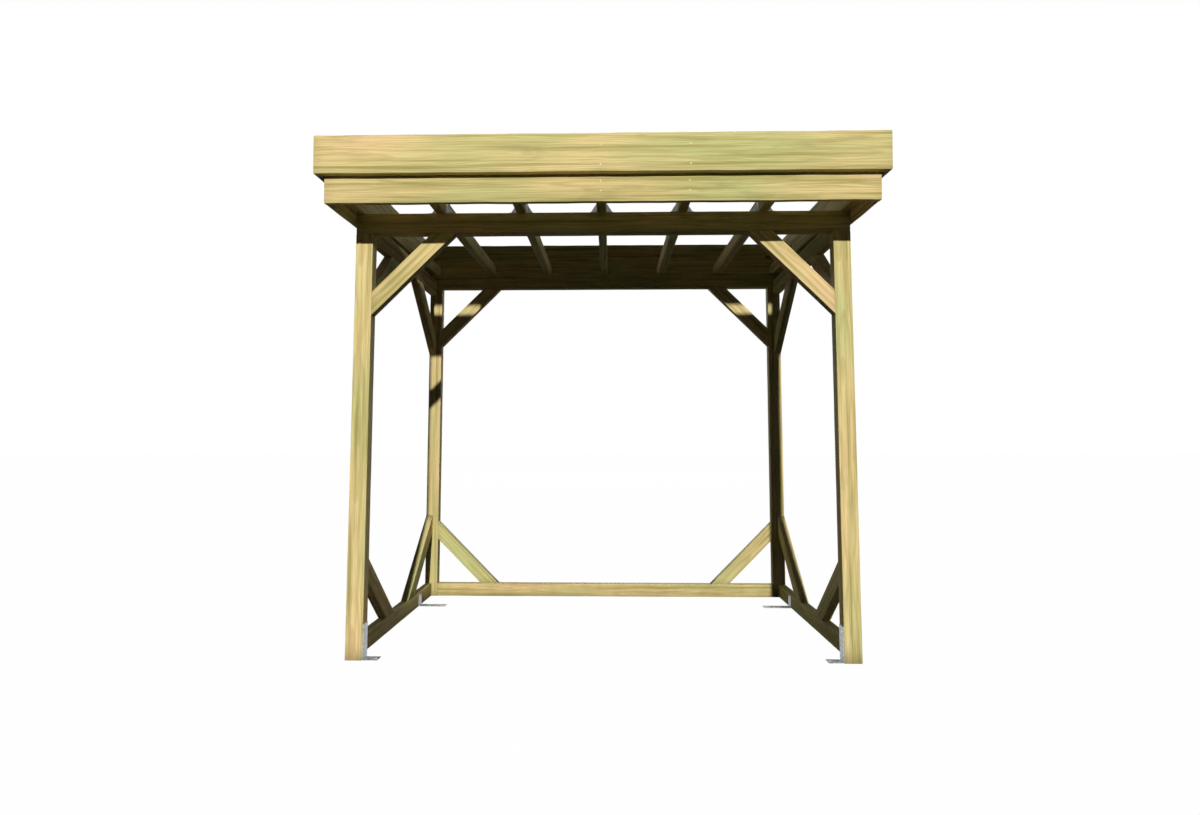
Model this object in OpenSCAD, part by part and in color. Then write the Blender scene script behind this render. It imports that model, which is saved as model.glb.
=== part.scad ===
// Open timber log store: four posts, knee braces, a low-pitch rafter frame and a double fascia.
// Millimetres, +Z up, floor at z = 0, -Y is the open front, origin under the middle of the roof outline.

/* [Frame] */
// Width over the outer faces of the posts
frame_w = 2040; // [1200:10:3600]
// Depth over the outer faces of the posts
frame_d = 1045; // [700:5:1800]
// Height of the underside of the front and side beams
clear_h = 1730; // [1200:10:2200]

/* [Posts and beams] */
// Post width seen from the front
post_w = 70; // [60:1:120]
// Post depth front to back
post_d = 45; // [40:1:100]
// Height of the top beams
beam_h = 85; // [60:1:140]
// Thickness of the side beams, rails and braces
board_t = 38; // [20:1:40]
// Height of the bottom rails
rail_h = 70; // [45:1:120]

/* [Braces] */
// Face width of a brace
brace_w = 70; // [45:1:100]
// Short leg of the upper braces on the front and back
brace_leg = 245; // [150:5:400]
// Short leg of the upper braces on the sides
side_leg = 250; // [150:5:340]
// Short leg of the lower braces at the back
low_leg = 250; // [150:5:400]
// Short leg of the lower braces on the sides
low_side_leg = 285; // [150:5:340]

/* [Roof frame] */
// Rise of the roof towards the back in degrees
roof_deg = 2.3; // [1:0.1:4]
// Number of rafters, outer two included
rafter_count = 7; // [7:1:7]
// Thickness of a rafter
rafter_t = 38; // [25:1:60]
// Height of a rafter
rafter_h = 63; // [50:1:120]
// Front overhang to the lower fascia face
over_front = 235; // [120:5:400]
// Back overhang to the lower fascia face
over_back = 60; // [40:5:300]

/* [Fascias] */
// Thickness of the lower fascia
low_t = 22; // [16:1:35]
// Thickness of the upper fascia
top_t = 28; // [16:1:40]
// Height of one fascia board
fascia_h = 145; // [120:1:200]
// How far the lower fascia hangs under the rafter seat
fascia_drop = 46; // [10:1:70]
// How far the upper fascia laps over the lower one
fascia_lap = 43; // [20:1:70]

/* [Foot brackets] */
// Long leg of a foot bracket
bracket_long = 140; // [80:5:200]
// Short leg of a foot bracket
bracket_short = 60; // [45:1:90]
// Width of a foot bracket
bracket_w = 40; // [30:1:44]
// Thickness of the bracket steel
bracket_t = 2.5; // [2:0.1:4]
// Nail hole diameter
nail_d = 5; // [3:0.5:7]
// Ground anchor hole diameter
anchor_d = 11; // [8:0.5:14]
// Distance of the back brackets from the front face of the frame
bracket_back_y = 800; // [300:5:900]

/* [Rafter cleats] */
// Leg of a cleat along the beam
cleat_w = 30; // [20:1:60]
// Leg of a cleat up the rafter
cleat_h = 45; // [30:1:60]
// Depth of a cleat front to back
cleat_d = 36; // [20:1:40]
// Thickness of the cleat steel
cleat_t = 2.5; // [1.5:0.1:4]

/* [Hidden] */
seat = 2;
low_z = -fascia_drop;
top_z = low_z + fascia_h - fascia_lap;
front_reach = (over_front + top_t) * cos(roof_deg) + (top_z + fascia_h) * sin(roof_deg);
back_reach = (frame_d + over_back + top_t) * cos(roof_deg) - top_z * sin(roof_deg);
y0 = -(back_reach - front_reach) / 2;
y1 = y0 + frame_d;
half_w = frame_w / 2;
inner_x = half_w - post_w;
beam_top = clear_h + beam_h;
back_top = beam_top + frame_d * tan(roof_deg) - 1.5;
back_clear = back_top - beam_h;
half_low = half_w + low_t;
half_top = half_low + top_t;
bay_y0 = y0 + post_d;
bay_y1 = y1 - post_d;
roof_y0 = -over_front;
roof_y1 = frame_d + over_back;
rafter_y0 = roof_y0 + low_t;
rafter_y1 = roof_y1 - low_t;
rafter_gap = (frame_w - rafter_t) / (rafter_count - 1);
hole_pitch = 20;
wood = [0.85, 0.80, 0.56];
steel = [0.70, 0.71, 0.73];
$fn = 32;

// A box from two opposite corners.
module slab(a, b) {
  translate(a) cube(b - a);
}

// Right-hand part mirrored to the left when side is -1.
module on_side(side) {
  scale([side, 1, 1]) children();
}

// Brace profile: corner at the origin, legs along +X and -Y of the sketch.
module brace_shape(leg) {
  long = leg + brace_w * sqrt(2);
  polygon([[leg, 0], [long, 0], [0, -long], [0, -leg]]);
}

// Brace in the front or back plane, on the right-hand post, y is its front face.
module cross_brace(leg, y, z, up) {
  translate([inner_x, y + board_t, z])
    scale([-1, 1, up])
      rotate([90, 0, 0])
        linear_extrude(height = board_t) brace_shape(leg);
}

// Brace in the side plane, on the right-hand side, dir +1 starts at the front post.
module side_brace(leg, y, z, dir, up) {
  translate([half_w - board_t, y, z])
    scale([1, dir, up])
      rotate([90, 0, 90])
        linear_extrude(height = board_t) brace_shape(leg);
}

// Roof parts are drawn level and tipped about the front of the beam seat.
module tipped() {
  translate([0, y0, beam_top]) rotate([roof_deg, 0, 0]) children();
}

module post_front(side) {
  color(wood) on_side(side) slab([inner_x, y0, 0], [half_w, bay_y0, clear_h]);
}

module post_back(side) {
  color(wood) on_side(side) slab([inner_x, bay_y1, 0], [half_w, y1, back_clear]);
}

module beam_front() {
  color(wood) slab([-half_w, y0, clear_h], [half_w, bay_y0, beam_top]);
}

module beam_back() {
  color(wood) slab([-half_w, bay_y1, back_clear], [half_w, y1, back_top]);
}

// The side beams butt the front beam and the front faces of the back posts, just under the rafters.
module beam_side(side) {
  color(wood) on_side(side)
    slab([half_w - board_t, bay_y0, clear_h], [half_w, bay_y1, beam_top - seat]);
}

module rail_back() {
  color(wood) slab([-inner_x, bay_y1, 0], [inner_x, bay_y1 + board_t, rail_h]);
}

module rail_side(side) {
  color(wood) on_side(side) slab([half_w - board_t, bay_y0, 0], [half_w, bay_y1, rail_h]);
}

module brace_front(side) {
  color(wood) on_side(side) cross_brace(brace_leg, y0, clear_h, 1);
}

module brace_back(side) {
  color(wood) on_side(side) cross_brace(brace_leg, bay_y1, back_clear, 1);
}

module brace_side_front(side) {
  color(wood) on_side(side) side_brace(side_leg, bay_y0, clear_h, 1, 1);
}

module brace_side_back(side) {
  color(wood) on_side(side) side_brace(side_leg, bay_y1, clear_h, -1, 1);
}

module low_brace_back(side) {
  color(wood) on_side(side) cross_brace(low_leg, bay_y1, rail_h, -1);
}

module low_brace_side_front(side) {
  color(wood) on_side(side) side_brace(low_side_leg, bay_y0, rail_h, 1, -1);
}

module low_brace_side_back(side) {
  color(wood) on_side(side) side_brace(low_side_leg, bay_y1, rail_h, -1, -1);
}

// Rafters are notched so they sit flat on both cross beams.
module rafter(i) {
  x = -half_w + (i - 1) * rafter_gap;
  color(wood)
    difference() {
      tipped() slab([x, rafter_y0, -seat], [x + rafter_t, rafter_y1, rafter_h - seat]);
      slab([x - 1, y0, clear_h], [x + rafter_t + 1, bay_y0, beam_top]);
      slab([x - 1, bay_y1, back_clear], [x + rafter_t + 1, y1, back_top]);
    }
}

module fascia_low_cross(ya) {
  color(wood) tipped() slab([-half_low, ya, low_z], [half_low, ya + low_t, low_z + fascia_h]);
}

module fascia_low_side(side) {
  color(wood) on_side(side) tipped()
    slab([half_w, rafter_y0, low_z], [half_low, rafter_y1, low_z + fascia_h]);
}

module fascia_top_cross(ya) {
  color(wood) tipped() slab([-half_top, ya, top_z], [half_top, ya + top_t, top_z + fascia_h]);
}

module fascia_top_side(side) {
  color(wood) on_side(side) tipped()
    slab([half_low, roof_y0, top_z], [half_top, roof_y1, top_z + fascia_h]);
}

// Two rows of nail holes along a leg of the given length, drawn in the XY plane.
module nail_rows(length) {
  for (x = [hole_pitch : hole_pitch : length - hole_pitch / 2])
    for (y = [-hole_pitch / 2, hole_pitch / 2])
      translate([x, y, -1]) cylinder(h = bracket_t + 2, d = nail_d);
}

// Angle bracket with its corner at the origin, one leg along +X on the ground, one up +Z.
module angle_bracket(ground_leg, up_leg) {
  difference() {
    union() {
      slab([0, -bracket_w / 2, 0], [ground_leg, bracket_w / 2, bracket_t]);
      slab([0, -bracket_w / 2, 0], [bracket_t, bracket_w / 2, up_leg]);
    }
    nail_rows(ground_leg - hole_pitch);
    translate([bracket_t, 0, 0]) rotate([0, -90, 0]) nail_rows(up_leg);
    translate([ground_leg - hole_pitch / 2 - 2, 0, -1]) cylinder(h = bracket_t + 2, d = anchor_d);
  }
}

module foot_bracket_front(side) {
  color(steel) on_side(-side) translate([-inner_x, (y0 + bay_y0) / 2, 0])
    angle_bracket(bracket_short, bracket_long);
}

module foot_bracket_back(side) {
  color(steel) on_side(-side) translate([board_t - half_w, y0 + bracket_back_y, 0])
    angle_bracket(bracket_long, bracket_short);
}

// Gusseted cleat standing on the front beam against a rafter, leg along +X.
module cleat() {
  slab([0, 0, 0], [cleat_w, cleat_d, cleat_t]);
  slab([0, 0, 0], [cleat_t, cleat_d, cleat_h]);
  translate([0, (cleat_d + cleat_t) / 2, 0]) rotate([90, 0, 0])
    linear_extrude(height = cleat_t)
      polygon([[0, 0], [cleat_w, 0], [cleat_w, cleat_t], [cleat_t, cleat_h], [0, cleat_h]]);
}

module rafter_cleats() {
  color(steel)
    for (i = [2 : rafter_count - 1]) {
      x = -half_w + (i - 1) * rafter_gap;
      y = y0 + (post_d - cleat_d) / 2;
      translate([x + rafter_t, y, beam_top]) cleat();
      translate([x, y, beam_top]) scale([-1, 1, 1]) cleat();
    }
}

post_front(-1);  // post_front_left
post_front(1);  // post_front_right
post_back(-1);  // post_back_left
post_back(1);  // post_back_right
beam_front();
beam_back();
beam_side(-1);  // beam_left
beam_side(1);  // beam_right
rail_back();
rail_side(-1);  // rail_left
rail_side(1);  // rail_right
brace_front(-1);  // brace_front_left
brace_front(1);  // brace_front_right
brace_back(-1);  // brace_back_left
brace_back(1);  // brace_back_right
brace_side_front(-1);  // brace_left_front
brace_side_back(-1);  // brace_left_back
brace_side_front(1);  // brace_right_front
brace_side_back(1);  // brace_right_back
low_brace_back(-1);  // low_brace_back_left
low_brace_back(1);  // low_brace_back_right
low_brace_side_front(-1);  // low_brace_left_front
low_brace_side_back(-1);  // low_brace_left_back
low_brace_side_front(1);  // low_brace_right_front
low_brace_side_back(1);  // low_brace_right_back
rafter(1);  // rafter_1
rafter(2);  // rafter_2
rafter(3);  // rafter_3
rafter(4);  // rafter_4
rafter(5);  // rafter_5
rafter(6);  // rafter_6
rafter(7);  // rafter_7
fascia_low_cross(roof_y0);  // fascia_low_front
fascia_low_cross(rafter_y1);  // fascia_low_back
fascia_low_side(-1);  // fascia_low_left
fascia_low_side(1);  // fascia_low_right
fascia_top_cross(roof_y0 - top_t);  // fascia_top_front
fascia_top_cross(roof_y1);  // fascia_top_back
fascia_top_side(-1);  // fascia_top_left
fascia_top_side(1);  // fascia_top_right
foot_bracket_front(-1);  // foot_bracket_front_left
foot_bracket_front(1);  // foot_bracket_front_right
foot_bracket_back(-1);  // foot_bracket_back_left
foot_bracket_back(1);  // foot_bracket_back_right
rafter_cleats();
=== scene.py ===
import math

import bpy
import numpy as np
from mathutils import Euler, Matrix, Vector


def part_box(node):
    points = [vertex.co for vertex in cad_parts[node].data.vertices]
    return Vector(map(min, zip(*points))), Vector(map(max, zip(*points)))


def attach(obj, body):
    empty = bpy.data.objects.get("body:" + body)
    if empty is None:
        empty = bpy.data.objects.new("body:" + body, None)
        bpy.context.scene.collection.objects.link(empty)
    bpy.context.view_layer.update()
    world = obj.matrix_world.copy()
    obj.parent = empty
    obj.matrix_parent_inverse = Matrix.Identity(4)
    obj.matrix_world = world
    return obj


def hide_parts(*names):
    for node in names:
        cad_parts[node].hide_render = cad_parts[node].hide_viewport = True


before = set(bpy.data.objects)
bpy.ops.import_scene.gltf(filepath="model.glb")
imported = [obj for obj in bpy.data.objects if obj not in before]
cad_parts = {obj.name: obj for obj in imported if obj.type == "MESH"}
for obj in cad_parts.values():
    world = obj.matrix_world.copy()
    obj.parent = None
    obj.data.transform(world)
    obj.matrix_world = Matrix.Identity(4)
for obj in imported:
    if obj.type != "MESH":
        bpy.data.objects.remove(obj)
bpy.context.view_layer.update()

rng = np.random.default_rng(41)

MM = 0.001
BROAD = 0.070  # face width of posts, rails and braces
FASCIA = 0.145  # height of a fascia board, square to the slope
RAFTER = 0.063  # height of a rafter, square to the slope
ARRIS = 1.6 * MM  # planed timber has its sharp corners just taken off
RIPPLE = 0.0003  # how far a board's broad faces sink at most, being never quite flat
BOARD_SHADES = (0.95, 1.045)  # darkest and palest board, as a share of the plain colour
HEAD_SINK = 0.0006  # how far the rim of a screw head lies inside its board
COS_45 = math.sqrt(0.5)


# ---------------------------------------------------------------- colour and nodes


def linear(code):
    """sRGB hex to linear RGBA."""
    s = np.array([int(code[i : i + 2], 16) for i in (1, 3, 5)]) / 255
    v = np.where(s <= 0.04045, s / 12.92, ((s + 0.055) / 1.055) ** 2.4)
    return (*v.tolist(), 1.0)


def add(tree, kind, links=None, stops=(), **settings):
    """Adds one node: settings are its properties, links its inputs, as values or sockets, and
    stops are a colour ramp's (place, hex or grey) pairs."""
    node = tree.nodes.new(kind)
    for key, value in settings.items():
        setattr(node, key, value)
    for key, value in (links or {}).items():
        if isinstance(value, bpy.types.NodeSocket):
            tree.links.new(value, node.inputs[key])
        else:
            node.inputs[key].default_value = value
    if stops:
        band = node.color_ramp.elements
        while len(band) < len(stops):
            band.new(0.5)
        for element, (place, tone) in zip(band, stops):
            element.position = place
            element.color = linear(tone) if isinstance(tone, str) else (tone, tone, tone, 1)
    return node


def new_material(name):
    made = bpy.data.materials.new(name)
    made.use_nodes = True
    made.node_tree.nodes.clear()
    return made, made.node_tree


def pine():
    """Pressure-treated planed pine. The salts leave a dry yellow-green, greener along the pores,
    and the growth rings show as long tapering figures on the faces and arcs on the ends."""
    made, t = new_material("pressure_treated_pine")
    grain = add(t, "ShaderNodeAttribute", attribute_name="grain").outputs["Vector"]
    tone = add(t, "ShaderNodeAttribute", attribute_name="tone")
    split = add(t, "ShaderNodeSeparateXYZ", {0: tone.outputs["Vector"]})
    end, board_shade, wear = split.outputs
    axes = add(t, "ShaderNodeSeparateXYZ", {0: grain})
    along, across, deep = axes.outputs

    # Slow wander of the pith along the board, over about half a metre.
    wander_at = add(t, "ShaderNodeMapping", {"Vector": grain, "Scale": (2.0, 7.0, 7.0)})
    wander = add(t, "ShaderNodeTexNoise", {"Vector": wander_at.outputs[0], "Scale": 1.0, "Detail": 2.0})

    # Knots: one site per 0.3 m of board, a fifth of them filled, at most 26 mm tall and 62 mm long.
    knot_at = add(t, "ShaderNodeMapping", {"Vector": grain, "Scale": (3.4, 8.0, 3.0)})
    site = add(t, "ShaderNodeTexVoronoi", {"Vector": knot_at.outputs[0], "Scale": 1.0}, feature="F1")
    chance = add(t, "ShaderNodeSeparateColor", {"Color": site.outputs["Color"]})
    live = add(t, "ShaderNodeMath", {0: chance.outputs[0], 1: 0.80}, operation="GREATER_THAN")
    near = add(
        t,
        "ShaderNodeMapRange",
        {"Value": site.outputs["Distance"], "From Min": 0.26, "From Max": 0.03},
        interpolation_type="SMOOTHSTEP",
    )
    swell = add(t, "ShaderNodeMath", {0: near.outputs[0], 1: live.outputs[0]}, operation="MULTIPLY")

    # Distance from the pith, pushed aside by the wander and round each knot.
    square = add(t, "ShaderNodeMath", {0: across, 1: across}, operation="MULTIPLY")
    radius2 = add(t, "ShaderNodeMath", {0: deep, 1: deep, 2: square.outputs[0]}, operation="MULTIPLY_ADD")
    radius = add(t, "ShaderNodeMath", {0: radius2.outputs[0]}, operation="SQRT")
    pushed = add(
        t,
        "ShaderNodeMath",
        {0: wander.outputs["Fac"], 1: 0.020, 2: radius.outputs[0]},
        operation="MULTIPLY_ADD",
    )
    bowed = add(
        t,
        "ShaderNodeMath",
        {0: swell.outputs[0], 1: 0.016, 2: pushed.outputs[0]},
        operation="MULTIPLY_ADD",
    )

    # Growth rings 4.5 mm apart: pale springwood easing to a darker latewood line.
    ring = add(t, "ShaderNodeMath", {0: bowed.outputs[0], 1: 1 / 0.0045}, operation="MULTIPLY")
    phase = add(t, "ShaderNodeMath", {0: ring.outputs[0]}, operation="FRACT")
    late_stops = [(0.0, 0.0), (0.45, 0.12), (0.82, 1.0), (0.95, 0.75), (1.0, 0.0)]
    late = add(t, "ShaderNodeValToRGB", {"Fac": phase.outputs[0]}, late_stops).outputs["Color"]

    # Broad streaks of salts, 8 to 25 mm tall and hundreds of millimetres long.
    streak_at = add(t, "ShaderNodeMapping", {"Vector": grain, "Scale": (1.5, 60.0, 60.0)})
    streak = add(t, "ShaderNodeTexNoise", {"Vector": streak_at.outputs[0], "Scale": 1.0, "Detail": 3.0})
    fibre_at = add(t, "ShaderNodeMapping", {"Vector": grain, "Scale": (7.0, 330.0, 330.0)})
    fibre = add(t, "ShaderNodeTexNoise", {"Vector": fibre_at.outputs[0], "Scale": 1.0, "Detail": 3.0})
    patch_at = add(t, "ShaderNodeMapping", {"Vector": grain, "Scale": (1.7, 6.0, 6.0)})
    patch = add(t, "ShaderNodeTexNoise", {"Vector": patch_at.outputs[0], "Scale": 1.0, "Detail": 1.0})

    base_stops = [(0.28, "#CBCD8D"), (0.44, "#D8CE90"), (0.56, "#E8D497"), (0.72, "#F0D29D")]
    base = add(t, "ShaderNodeValToRGB", {"Fac": patch.outputs["Fac"]}, base_stops).outputs["Color"]
    streak_stops = [(0.44, 0.0), (0.56, 0.30), (0.68, 0.85)]
    streak_mask = add(t, "ShaderNodeValToRGB", {"Fac": streak.outputs["Fac"]}, streak_stops)
    streak_mask.color_ramp.interpolation = "EASE"
    streaked = add(
        t,
        "ShaderNodeMix",
        {0: streak_mask.outputs["Color"], 6: base, 7: linear("#A09A5A")},
        data_type="RGBA",
    ).outputs[2]

    # Blotches of deeper salts, about 70 mm tall and 350 mm long.
    blotch_at = add(t, "ShaderNodeMapping", {"Vector": grain, "Scale": (2.9, 14.0, 14.0)})
    blotch = add(
        t,
        "ShaderNodeTexNoise",
        {"Vector": blotch_at.outputs[0], "Scale": 1.0, "Detail": 4.0, "Roughness": 0.62},
    )
    blotch_mask = add(
        t, "ShaderNodeValToRGB", {"Fac": blotch.outputs["Fac"]}, [(0.58, 0.0), (0.70, 0.42)]
    ).outputs["Color"]
    greened = add(
        t, "ShaderNodeMix", {0: blotch_mask, 6: streaked, 7: linear("#8C8852")}, data_type="RGBA"
    ).outputs[2]
    ring_amount = add(t, "ShaderNodeMath", {0: late, 1: 0.34}, operation="MULTIPLY")
    ringed = add(
        t, "ShaderNodeMix", {0: ring_amount.outputs[0], 6: greened, 7: linear("#A8915A")}, data_type="RGBA"
    ).outputs[2]
    fibre_mask = add(
        t, "ShaderNodeValToRGB", {"Fac": fibre.outputs["Fac"]}, [(0.48, 0.0), (0.70, 0.48)]
    ).outputs["Color"]
    fibred = add(
        t, "ShaderNodeMix", {0: fibre_mask, 6: ringed, 7: linear("#9C8F5C")}, data_type="RGBA"
    ).outputs[2]

    # Knot heart and the dark ring of bark round it.
    heart = add(
        t,
        "ShaderNodeMapRange",
        {"Value": site.outputs["Distance"], "From Min": 0.105, "From Max": 0.075},
        interpolation_type="SMOOTHSTEP",
    )
    heart_live = add(t, "ShaderNodeMath", {0: heart.outputs[0], 1: live.outputs[0]}, operation="MULTIPLY")
    heart_soft = add(t, "ShaderNodeMath", {0: heart_live.outputs[0], 1: 0.75}, operation="MULTIPLY")
    knotted = add(
        t, "ShaderNodeMix", {0: heart_soft.outputs[0], 6: fibred, 7: linear("#76572F")}, data_type="RGBA"
    ).outputs[2]

    # Sawn ends drink more of the salts, and each board has a shade of its own.
    end_amount = add(t, "ShaderNodeMath", {0: end, 1: 0.45}, operation="MULTIPLY")
    ended = add(
        t, "ShaderNodeMix", {0: end_amount.outputs[0], 6: knotted, 7: linear("#8F8450")}, data_type="RGBA"
    ).outputs[2]
    board = add(
        t, "ShaderNodeHueSaturation", {"Color": ended, "Value": board_shade, "Saturation": 1.0}
    ).outputs[0]
    rubbed_amount = add(t, "ShaderNodeMath", {0: wear, 1: 0.30}, operation="MULTIPLY")
    rubbed = add(
        t, "ShaderNodeMix", {0: rubbed_amount.outputs[0], 6: board, 7: linear("#EFE3B4")}, data_type="RGBA"
    ).outputs[2]

    # Rain splash stains the lowest 90 mm a little.
    place = add(t, "ShaderNodeTexCoord").outputs["Object"]
    height = add(t, "ShaderNodeSeparateXYZ", {0: place}).outputs[2]
    splash_noise = add(t, "ShaderNodeTexNoise", {"Vector": place, "Scale": 18.0, "Detail": 3.0})
    splash_line = add(
        t, "ShaderNodeMath", {0: splash_noise.outputs["Fac"], 1: -0.10, 2: height}, operation="MULTIPLY_ADD"
    )
    splash = add(
        t,
        "ShaderNodeMapRange",
        {"Value": splash_line.outputs[0], "From Min": 0.03, "From Max": -0.05, "To Max": 0.38},
    )
    stained = add(
        t, "ShaderNodeMix", {0: splash.outputs[0], 6: rubbed, 7: linear("#8A7B50")}, data_type="RGBA"
    ).outputs[2]

    gloss = add(t, "ShaderNodeMapRange", {"Value": late, "To Min": 0.76, "To Max": 0.62})
    ridge = add(t, "ShaderNodeMath", {0: late, 1: 0.35, 2: fibre.outputs["Fac"]}, operation="MULTIPLY_ADD")
    ridge_knot = add(
        t,
        "ShaderNodeMath",
        {0: heart_live.outputs[0], 1: 0.6, 2: ridge.outputs[0]},
        operation="MULTIPLY_ADD",
    )
    bump = add(t, "ShaderNodeBump", {"Height": ridge_knot.outputs[0], "Strength": 0.35, "Distance": 0.0006})
    skin = add(
        t,
        "ShaderNodeBsdfPrincipled",
        {
            "Base Color": stained,
            "Roughness": gloss.outputs[0],
            "Normal": bump.outputs[0],
            "IOR": 1.45,
            "Specular IOR Level": 0.06,  # set low, so the white floor and backdrop do not lift the shade
        },
    )
    add(t, "ShaderNodeOutputMaterial", {"Surface": skin.outputs[0]})
    return made


def zinc():
    """Hot-dip galvanised steel: dull grey with the crystal flakes of the zinc, 6 to 10 mm across."""
    made, t = new_material("galvanised_steel")
    place = add(t, "ShaderNodeTexCoord").outputs["Object"]
    flake = add(t, "ShaderNodeTexVoronoi", {"Vector": place, "Scale": 130.0}, feature="F1")
    pick = add(t, "ShaderNodeSeparateColor", {"Color": flake.outputs["Color"]}).outputs[0]
    tints = [(0.0, "#A3A8AB"), (0.5, "#B4B8BA"), (1.0, "#C6C9CA")]
    tint = add(t, "ShaderNodeValToRGB", {"Fac": pick}, tints).outputs["Color"]
    cloud = add(t, "ShaderNodeTexNoise", {"Vector": place, "Scale": 40.0, "Detail": 3.0})
    dull = add(
        t, "ShaderNodeValToRGB", {"Fac": cloud.outputs["Fac"]}, [(0.35, 0.0), (0.7, 0.45)]
    ).outputs["Color"]
    coat = add(t, "ShaderNodeMix", {0: dull, 6: tint, 7: linear("#8D9294")}, data_type="RGBA").outputs[2]
    rough = add(t, "ShaderNodeMapRange", {"Value": pick, "To Min": 0.38, "To Max": 0.56})
    grit = add(t, "ShaderNodeTexNoise", {"Vector": place, "Scale": 900.0, "Detail": 2.0})
    bump = add(t, "ShaderNodeBump", {"Height": grit.outputs["Fac"], "Strength": 0.2, "Distance": 0.0002})
    skin = add(
        t,
        "ShaderNodeBsdfPrincipled",
        {"Base Color": coat, "Roughness": rough.outputs[0], "Metallic": 0.9, "Normal": bump.outputs[0]},
    )
    add(t, "ShaderNodeOutputMaterial", {"Surface": skin.outputs[0]})
    return made


def coated_screw():
    """Deck screws with a baked olive coating: satin, close to the colour of the treated boards."""
    made, t = new_material("olive_coated_screw_steel")
    place = add(t, "ShaderNodeTexCoord").outputs["Object"]
    mottle = add(t, "ShaderNodeTexNoise", {"Vector": place, "Scale": 260.0, "Detail": 2.0})
    coats = [(0.35, "#9A9262"), (0.65, "#B3AA76")]
    coat = add(t, "ShaderNodeValToRGB", {"Fac": mottle.outputs["Fac"]}, coats).outputs["Color"]
    skin = add(
        t, "ShaderNodeBsdfPrincipled", {"Base Color": coat, "Roughness": 0.45, "Metallic": 0.35}
    )
    add(t, "ShaderNodeOutputMaterial", {"Surface": skin.outputs[0]})
    return made


PINE = pine()
ZINC = zinc()
SCREW = coated_screw()


# ---------------------------------------------------------------- timbers


def rounded_section(width, thick, r, face_steps):
    """Outline of a rectangle with quarter-round corners, anticlockwise, as (v, c) rows and edge wear.
    Each side also has face_steps points between its corners."""
    corner = np.linspace(0, math.pi / 2, 4)
    rows, wear = [], []
    centres = [(1, 1), (-1, 1), (-1, -1), (1, -1)]
    for k, (sv, sc) in enumerate(centres):
        a = corner + k * math.pi / 2
        v = sv * (width / 2 - r) + r * np.cos(a)
        c = sc * (thick / 2 - r) + r * np.sin(a)
        rows.append(np.stack([v, c], 1))
        wear.append(np.array([0.0, 1.0, 1.0, 0.0]))
        nv, nc = centres[(k + 1) % 4]
        b = (k + 1) * math.pi / 2
        last = np.array([v[-1], c[-1]])
        nxt = np.array([nv * (width / 2 - r) + r * math.cos(b), nc * (thick / 2 - r) + r * math.sin(b)])
        s = np.linspace(0, 1, face_steps + 2)[1:-1, None]
        rows.append(last + (nxt - last) * s)
        wear.append(np.zeros(face_steps))
    return np.concatenate(rows), np.concatenate(wear)


def middle(node):
    lo, hi = (np.array(v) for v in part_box(node))
    return (lo + hi) / 2


def box_size(node):
    lo, hi = (np.array(v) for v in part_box(node))
    return hi - lo


def timber(node, start, along, broad, length, width, thick, cut=(0.0, 0.0)):
    """A sawn length in place of a CAD node: the rounded section carried along a straight path.
    start is the middle of the first end, along and broad are unit vectors, and an end is moved
    by cut * v along the path, so cut 1 or -1 is a 45 degree mitre."""
    name = "timber_" + node
    shade = float(rng.uniform(*BOARD_SHADES))
    start, along, broad = (np.array(x, float) for x in (start, along, broad))
    flat = np.cross(along, broad)
    section, wear = rounded_section(width, thick, ARRIS, 3)
    count = len(section)
    inset = section * (1 - 2 * ARRIS / np.array([width, thick]))
    stations = max(4, int(length / 0.05) + 1)
    s = np.linspace(0, 1, stations)
    rings = [inset, *([section] * stations), inset]
    s = np.concatenate([[0], s, [1]])
    vc = np.stack(rings)
    v, c = vc[..., 0], vc[..., 1]
    first = cut[0] * v
    last = length + cut[1] * v
    x = first + (last - first) * s[:, None]
    x[1] += ARRIS * 0.8
    x[-2] -= ARRIS * 0.8
    # The whole section shrinks and swells a little along the board, never past its plain size.
    ripple = 1 - RIPPLE / (min(width, thick) / 2) * (
        0.5 + 0.5 * np.sin(x * 9.0 + rng.uniform(0, 6)) * np.cos(x * 23.0 + rng.uniform(0, 6))
    )
    points = start + x[..., None] * along + (v * ripple)[..., None] * broad + (c * ripple)[..., None] * flat
    verts = points.reshape(-1, 3)
    rows = np.arange(len(s) - 1)[:, None] * count
    cols = np.arange(count)[None, :]
    nxt = (cols + 1) % count
    quads = np.stack([rows + cols, rows + nxt, rows + nxt + count, rows + cols + count], -1).reshape(-1, 4)
    loops = [tuple(q) for q in quads.tolist()]
    top = (len(s) - 1) * count
    loops += [tuple(range(count))[::-1], tuple(range(top, top + count))]
    mesh = bpy.data.meshes.new(name)
    mesh.from_pydata(verts.tolist(), [], loops)
    mesh.update()
    # Where in its log the board was cut: far from the pith on some, near on others.
    pith = (rng.uniform(-0.02, 0.02), rng.uniform(0.03, 0.09) * rng.choice([-1, 1]))
    seed = rng.uniform(0, 60)
    grain = np.stack([x + seed, v + pith[0], c + pith[1]], -1).reshape(-1, 3)
    end = np.zeros(len(s))
    end[0] = end[-1] = 1
    tone = np.stack(
        [np.repeat(end, count), np.full(len(s) * count, shade), np.tile(wear, len(s))], -1
    )
    for key, data in (("grain", grain), ("tone", tone)):
        layer = mesh.attributes.new(key, "FLOAT_VECTOR", "POINT")
        layer.data.foreach_set("vector", data.astype(np.float32).ravel())
    smooth = np.ones(len(loops), bool)
    smooth[-2:] = False
    mesh.polygons.foreach_set("use_smooth", smooth)
    mesh.materials.append(PINE)
    piece = bpy.data.objects.new(name, mesh)
    bpy.context.scene.collection.objects.link(piece)
    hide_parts(node)
    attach(piece, "root")
    return piece


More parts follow.
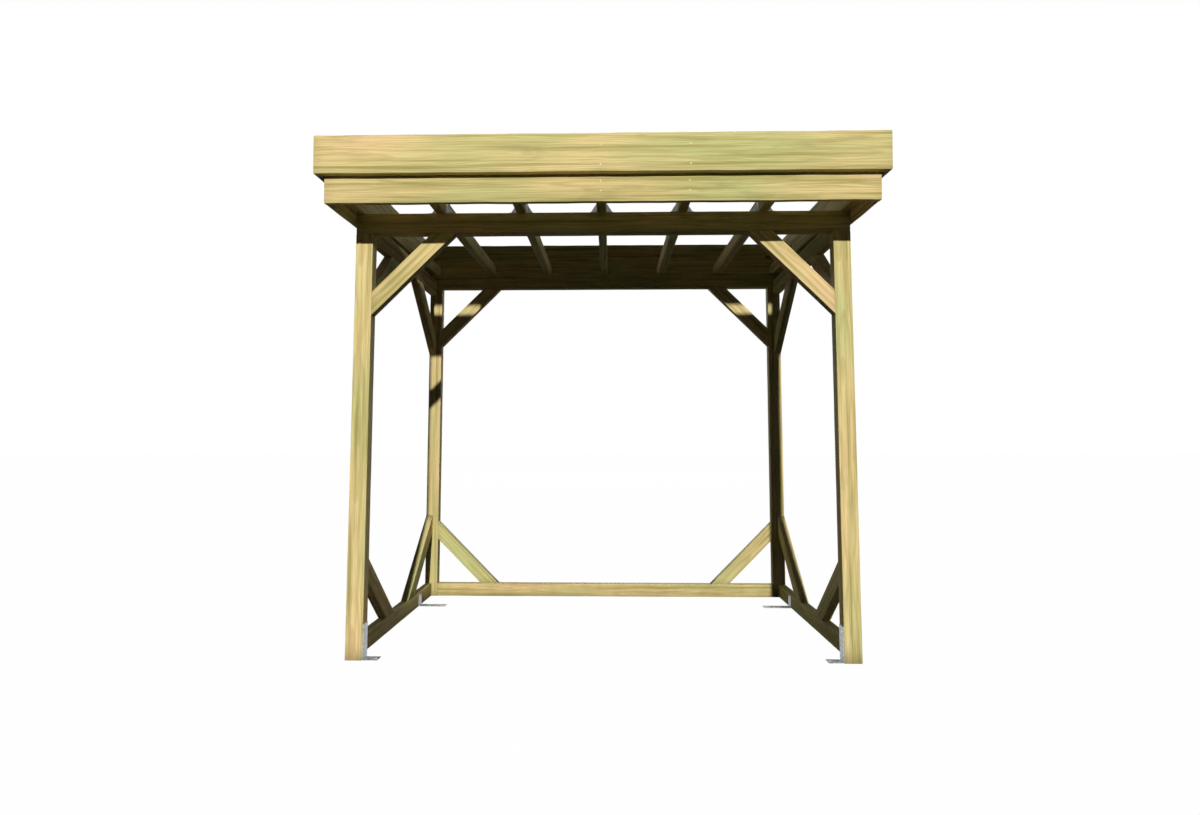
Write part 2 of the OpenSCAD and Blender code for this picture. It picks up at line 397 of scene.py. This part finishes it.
def straight(node, axis, broad_axis):
    """A square-cut timber filling the box of a CAD node that lies along the row axes."""
    lo, hi = (np.array(v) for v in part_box(node))
    size, mid = hi - lo, (lo + hi) / 2
    thick_axis = 3 - axis - broad_axis
    start = mid.copy()
    start[axis] = lo[axis]
    along, broad = np.eye(3)[axis], np.eye(3)[broad_axis]
    timber(node, start, along, broad, size[axis], size[broad_axis], size[thick_axis])


def corner_brace(node, across, post_sign, rises):
    """A 45 degree brace. across is the row axis it leans along, post_sign which end of that axis
    the post is at, and rises is +1 where the brace climbs away from the post."""
    lo, hi = (np.array(v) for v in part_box(node))
    reach = (hi - lo)[2]
    thick_axis = 1 - across
    thick = (hi - lo)[thick_axis]
    out = -post_sign * np.eye(3)[across]
    up = rises * np.array([0, 0, 1.0])
    along = (out + up) * COS_45
    broad = (out - up) * COS_45
    length = (reach - BROAD * COS_45) * math.sqrt(2)
    at_post = lo.copy() if post_sign < 0 else hi.copy()
    at_post[thick_axis] = (lo + hi)[thick_axis] / 2
    post_z = lo[2] if rises > 0 else hi[2]
    # Middle of the cut at the post lies half the cut's height from the brace's far corner.
    at_post[2] = post_z + rises * BROAD * COS_45
    timber(node, at_post, along, broad, length, BROAD, thick, cut=(-1.0, 1.0))


def slope_of_roof():
    """Slope of the roof in radians, from the box of an upper side board. A board of height h and
    length l tipped by a fills a box l cos a + h sin a long and l sin a + h cos a high."""
    _, l_box, h_box = box_size("fascia_top_left")
    tip = math.atan2(h_box - FASCIA, l_box)
    for _ in range(20):
        length = (l_box - FASCIA * math.sin(tip)) / math.cos(tip)
        tip = math.asin(min(1, (h_box - FASCIA * math.cos(tip)) / length))
    return tip


TIP = slope_of_roof()
SLOPE = np.array([0, math.cos(TIP), math.sin(TIP)])
STAND = np.array([0, -math.sin(TIP), math.cos(TIP)])
LEVEL = np.array([1.0, 0, 0])


def up_slope(node, height):
    """Size up the slope of a roof timber: the length of a side board or the thickness of a cross
    board, whose node box is that size times cos a + height sin a deep."""
    return (box_size(node)[1] - height * math.sin(TIP)) / math.cos(TIP)


def roof_timber(node, along, length, width, thick):
    """A timber of the tipped roof frame. Its middle is its node's middle, it runs level or up
    the slope, and its height stands square to the slope."""
    timber(node, middle(node) - along * length / 2, along, STAND, length, width, thick)


for where in ("front_left", "front_right", "back_left", "back_right"):
    straight("post_" + where, 2, 0)
for where in ("front", "back"):
    straight("beam_" + where, 0, 2)
for where in ("left", "right"):
    straight("beam_" + where, 1, 2)
    straight("rail_" + where, 1, 2)
straight("rail_back", 0, 2)

for side, sign in (("left", -1), ("right", 1)):
    corner_brace("brace_front_" + side, 0, sign, 1)
    corner_brace("brace_back_" + side, 0, sign, 1)
    corner_brace("low_brace_back_" + side, 0, sign, -1)
    corner_brace(f"brace_{side}_front", 1, -1, 1)
    corner_brace(f"brace_{side}_back", 1, 1, 1)
    corner_brace(f"low_brace_{side}_front", 1, -1, -1)
    corner_brace(f"low_brace_{side}_back", 1, 1, -1)

for where in ("front", "back"):
    for level in ("low", "top"):
        node = f"fascia_{level}_{where}"
        roof_timber(node, LEVEL, box_size(node)[0], FASCIA, up_slope(node, FASCIA))
for where in ("left", "right"):
    for level in ("low", "top"):
        node = f"fascia_{level}_{where}"
        roof_timber(node, SLOPE, up_slope(node, FASCIA), FASCIA, box_size(node)[0])

RAFTERS = [f"rafter_{i}" for i in range(1, 8)]
for node in RAFTERS:
    roof_timber(node, SLOPE, up_slope("fascia_low_left", FASCIA), RAFTER, box_size(node)[0])


# ---------------------------------------------------------------- metalwork

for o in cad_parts.values():
    if o.name.startswith(("foot_bracket", "rafter_cleats")):
        for s in o.material_slots:
            s.material = ZINC


def pan_heads(name, places, facing, radius, height, steel):
    """Screw heads: a half-round profile turned about each place's axis, with a sunk drive.
    A point is place + r(t) * (cos a, sin a) in the plane + h(t) * facing."""
    facing = np.array(facing, float)
    helper = np.array([0, 0, 1.0]) if abs(facing[2]) < 0.9 else np.array([1.0, 0, 0])
    u = np.cross(helper, facing)
    u /= np.linalg.norm(u)
    w = np.cross(facing, u)
    dome = [[1.0, 0.0], [0.97, 0.45], [0.8, 0.8], [0.5, 1.0], [0.32, 1.0]]
    drive = [[0.26, 0.35], [0.0, 0.3]]
    profile = np.array(dome + drive)
    turn = np.linspace(0, 2 * math.pi, 12, endpoint=False)
    r, h = profile[:-1, 0] * radius, profile[:-1, 1] * height
    disc = (
        r[:, None, None] * (np.cos(turn)[None, :, None] * u + np.sin(turn)[None, :, None] * w)
        + h[:, None, None] * facing
    ).reshape(-1, 3)
    disc = np.concatenate([disc, [profile[-1, 1] * height * facing]])
    n, k = len(turn), len(r)
    a = np.arange(k - 1)[:, None] * n
    b = np.arange(n)[None, :]
    quads = np.stack([a + b, a + (b + 1) % n, a + (b + 1) % n + n, a + b + n], -1).reshape(-1, 4)
    fan = np.stack([(k - 1) * n + b[0], (k - 1) * n + (b[0] + 1) % n, np.full(n, k * n)], -1)
    verts = (np.array(places, float)[:, None, :] + disc[None]).reshape(-1, 3)
    step = (np.arange(len(places)) * len(disc))[:, None, None]
    loops = (quads[None] + step).reshape(-1, 4).tolist() + (fan[None] + step).reshape(-1, 3).tolist()
    base = np.arange(n)[::-1][None] + step[:, 0]
    loops += base.tolist()
    mesh = bpy.data.meshes.new(name)
    mesh.from_pydata(verts.tolist(), [], loops)
    mesh.polygons.foreach_set("use_smooth", np.ones(len(loops), bool))
    mesh.materials.append(steel)
    piece = bpy.data.objects.new(name, mesh)
    bpy.context.scene.collection.objects.link(piece)
    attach(piece, "root")
    return piece


# Fascia screws: a pair at every rafter along the front and back boards, and five pairs along each
# side board. Rows are measured up from the middle of the board.
SCREW_ROWS = {"low": (-0.030, 0.006), "top": (-0.045, 0.030)}
SIDE_PLACES = (0.04, 0.27, 0.5, 0.73, 0.96)  # shares of the board's length
HEAD, HEAD_RISE = 0.0038, 0.0005  # radius of a screw head and its height above its rim
NAIL, NAIL_RISE = 0.0042, 0.0018  # the same of a bracket nail
BRACKET_SHEET = 2.5 * MM
NAIL_SIDESTEP = 10 * MM  # nails are staggered this far each side of the leg's middle

rafter_x = [float(middle(node)[0]) for node in RAFTERS]
for where, outward in (("front", -1), ("back", 1)):
    face = outward * SLOPE
    for level, rows in SCREW_ROWS.items():
        node = f"fascia_{level}_{where}"
        mid = middle(node) + face * (up_slope(node, FASCIA) / 2 - HEAD_SINK)
        places = [mid * [0, 1, 1] + np.array([x, 0, 0]) + STAND * d for x in rafter_x for d in rows]
        pan_heads(f"screws_{level}_{where}", places, face, HEAD, HEAD_RISE, SCREW)
for where, outward in (("left", -1), ("right", 1)):
    face = np.array([outward, 0, 0.0])
    for level, rows in SCREW_ROWS.items():
        node = f"fascia_{level}_{where}"
        mid = middle(node) + face * (box_size(node)[0] / 2 - HEAD_SINK)
        run = up_slope(node, FASCIA)
        places = [mid + SLOPE * run * (f - 0.5) + STAND * d for f in SIDE_PLACES for d in rows]
        pan_heads(f"screws_{level}_{where}", places, face, HEAD, HEAD_RISE, SCREW)

# Bracket nails: heads on the upright legs, three on a front bracket and one on a back one.
for where in ("front_left", "front_right", "back_left", "back_right"):
    lo, hi = (np.array(v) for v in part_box("foot_bracket_" + where))
    inward = 1.0 if where.endswith("left") else -1.0
    face_x = (lo[0] if inward > 0 else hi[0]) + inward * BRACKET_SHEET
    y = (lo + hi)[1] / 2
    heights = (0.04, 0.08, 0.12) if where.startswith("front") else (0.04,)
    places = [
        (face_x, y + (NAIL_SIDESTEP if k % 2 else -NAIL_SIDESTEP), z) for k, z in enumerate(heights)
    ]
    pan_heads("nails_" + where, places, (inward, 0, 0), NAIL, NAIL_RISE, ZINC)


# ---------------------------------------------------------------- camera, light and floor

cam_data = bpy.data.cameras.new("camera")
cam = bpy.data.objects.new("camera", cam_data)
bpy.context.scene.collection.objects.link(cam)
cam_data.sensor_width = 36.0
cam_data.lens = 17.46  # mm
cam.location = (0.036, -2.779, 0.8504)
TILT_UP, TURN_LEFT = 0.0655, 0.018  # radians off level and square to the front
cam.rotation_euler = Euler((math.pi / 2 + TILT_UP, 0.0, TURN_LEFT), "XYZ")
cam_data.clip_start, cam_data.clip_end = 0.05, 200
bpy.context.scene.camera = cam


BAY_MIDDLE = (0, 0, 1.0)


def lamp(name, place, size, power, colour):
    """A round lamp of this width in metres and power in watts, turned to the middle of the bay."""
    data = bpy.data.lights.new(name, "AREA")
    data.shape = "DISK"
    data.size = size
    data.energy = power
    data.color = linear(colour)[:3]
    made = bpy.data.objects.new(name, data)
    bpy.context.scene.collection.objects.link(made)
    made.location = place
    made.rotation_euler = (Vector(BAY_MIDDLE) - Vector(place)).to_track_quat("-Z", "Y").to_euler()
    return made


lamp("key", (1.5, -40.0, 14.3), 0.9, 18500, "#FFFCF6")
lamp("front_fill", (3.5, -7.0, 2.5), 5.0, 8, "#F4F7FF")
lamp("back_fill", (0.0, 16.0, 5.0), 4.0, 1000, "#FFFFFF")
lamp("left_fill", (-14.0, 3.0, 5.0), 4.0, 120, "#FFFFFF")
lamp("right_fill", (14.0, 3.0, 5.0), 4.0, 120, "#FFFFFF")

# A black flag just in front of and above the front board keeps the low key light out of the open
# roof. The camera and reflections do not see it.
FLAG_REACH, FLAG_Y, FLAG_FOOT, FLAG_TOP = 3.0, -0.80, 2.095, 3.2
flag_corners = [
    (-FLAG_REACH, FLAG_Y, FLAG_FOOT),
    (FLAG_REACH, FLAG_Y, FLAG_FOOT),
    (FLAG_REACH, FLAG_Y, FLAG_TOP),
    (-FLAG_REACH, FLAG_Y, FLAG_TOP),
]
flag_mesh = bpy.data.meshes.new("flag")
flag_mesh.from_pydata(flag_corners, [], [(0, 1, 2, 3)])
flag = bpy.data.objects.new("flag", flag_mesh)
bpy.context.scene.collection.objects.link(flag)
flag_mat, g = new_material("black_flag_cloth")
weave = add(g, "ShaderNodeBsdfDiffuse", {"Color": (0.0, 0.0, 0.0, 1.0)})
add(g, "ShaderNodeOutputMaterial", {"Surface": weave.outputs[0]})
flag_mesh.materials.append(flag_mat)
flag.visible_camera = False
flag.visible_glossy = False
flag.visible_transmission = False

world = bpy.data.worlds.new("backdrop")
bpy.context.scene.world = world
world.use_nodes = True
w = world.node_tree
w.nodes.clear()
path = add(w, "ShaderNodeLightPath")
seen = add(
    w,
    "ShaderNodeMath",
    {0: path.outputs["Is Camera Ray"], 1: path.outputs["Is Glossy Ray"]},
    operation="MAXIMUM",
)
seen_all = add(
    w, "ShaderNodeMath", {0: seen.outputs[0], 1: path.outputs["Is Transmission Ray"]}, operation="MAXIMUM"
)
soft = add(w, "ShaderNodeBackground", {"Color": linear("#FFFFFF"), "Strength": 0.010})
white = add(w, "ShaderNodeBackground", {"Color": (1, 1, 1, 1), "Strength": 1.0})
both = add(w, "ShaderNodeMixShader", {0: seen_all.outputs[0], 1: soft.outputs[0], 2: white.outputs[0]})
add(w, "ShaderNodeOutputWorld", {"Surface": both.outputs[0]})

floor_mesh = bpy.data.meshes.new("floor")
FAR = 60
floor_mesh.from_pydata([(-FAR, -FAR, 0), (FAR, -FAR, 0), (FAR, FAR, 0), (-FAR, FAR, 0)], [], [(0, 1, 2, 3)])
floor = bpy.data.objects.new("floor", floor_mesh)
bpy.context.scene.collection.objects.link(floor)
floor_mat, f = new_material("pale_floor")
f_path = add(f, "ShaderNodeLightPath")
matt = add(f, "ShaderNodeBsdfDiffuse", {"Color": linear("#C8C8C6")})
bright = add(f, "ShaderNodeEmission", {"Color": (1, 1, 1, 1), "Strength": 1.0})
lit = add(f, "ShaderNodeMixShader", {0: 0.99, 1: matt.outputs[0], 2: bright.outputs[0]})
dim = add(f, "ShaderNodeBsdfDiffuse", {"Color": linear("#1C1C1B")})
eye = add(
    f,
    "ShaderNodeMath",
    {0: f_path.outputs["Is Camera Ray"], 1: f_path.outputs["Is Glossy Ray"]},
    operation="MAXIMUM",
)
either = add(f, "ShaderNodeMixShader", {0: eye.outputs[0], 1: dim.outputs[0], 2: lit.outputs[0]})
add(f, "ShaderNodeOutputMaterial", {"Surface": either.outputs[0]})
floor_mesh.materials.append(floor_mat)

bpy.context.scene.view_settings.view_transform = "Standard"

bpy.context.view_layer.update()
